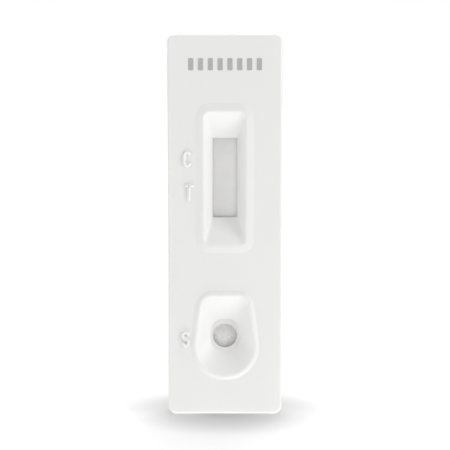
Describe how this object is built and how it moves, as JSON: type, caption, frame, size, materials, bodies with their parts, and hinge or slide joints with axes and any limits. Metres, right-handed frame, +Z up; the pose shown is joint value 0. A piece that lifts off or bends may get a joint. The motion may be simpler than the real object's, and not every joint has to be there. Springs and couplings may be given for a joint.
{
  "type": "lateral flow cassette",
  "caption": "Flat white plastic test cassette with a long sloped read window and a shield-shaped sample well, holding a test strip between two pressed shells.",
  "frame": {"origin": "middle of the foot the cassette stands on, centred in width and in depth", "axes": "+Z up along the strip from the sample end, -Y out of the face with the window, +X to the right seen from that face"},
  "size_m": [0.021, 0.0058, 0.07],
  "materials": {
    "shell_plastic": "white moulded polystyrene, fine satin",
    "card_plastic": "smooth white sheet",
    "membrane_film": "matt microporous membrane",
    "conjugate_fibre": "matt glass fibre pad",
    "sample_fibre": "matt cellulose fibre pad",
    "absorbent_fibre": "matt cotton linter blotting pad"
  },
  "bodies": {
    "root": {"top_shell": "shell_plastic", "bottom_shell": "shell_plastic", "backing_card": "card_plastic", "membrane": "membrane_film", "conjugate_pad": "conjugate_fibre", "sample_pad": "sample_fibre", "absorbent_pad": "absorbent_fibre"}
  },
  "joints": []
}
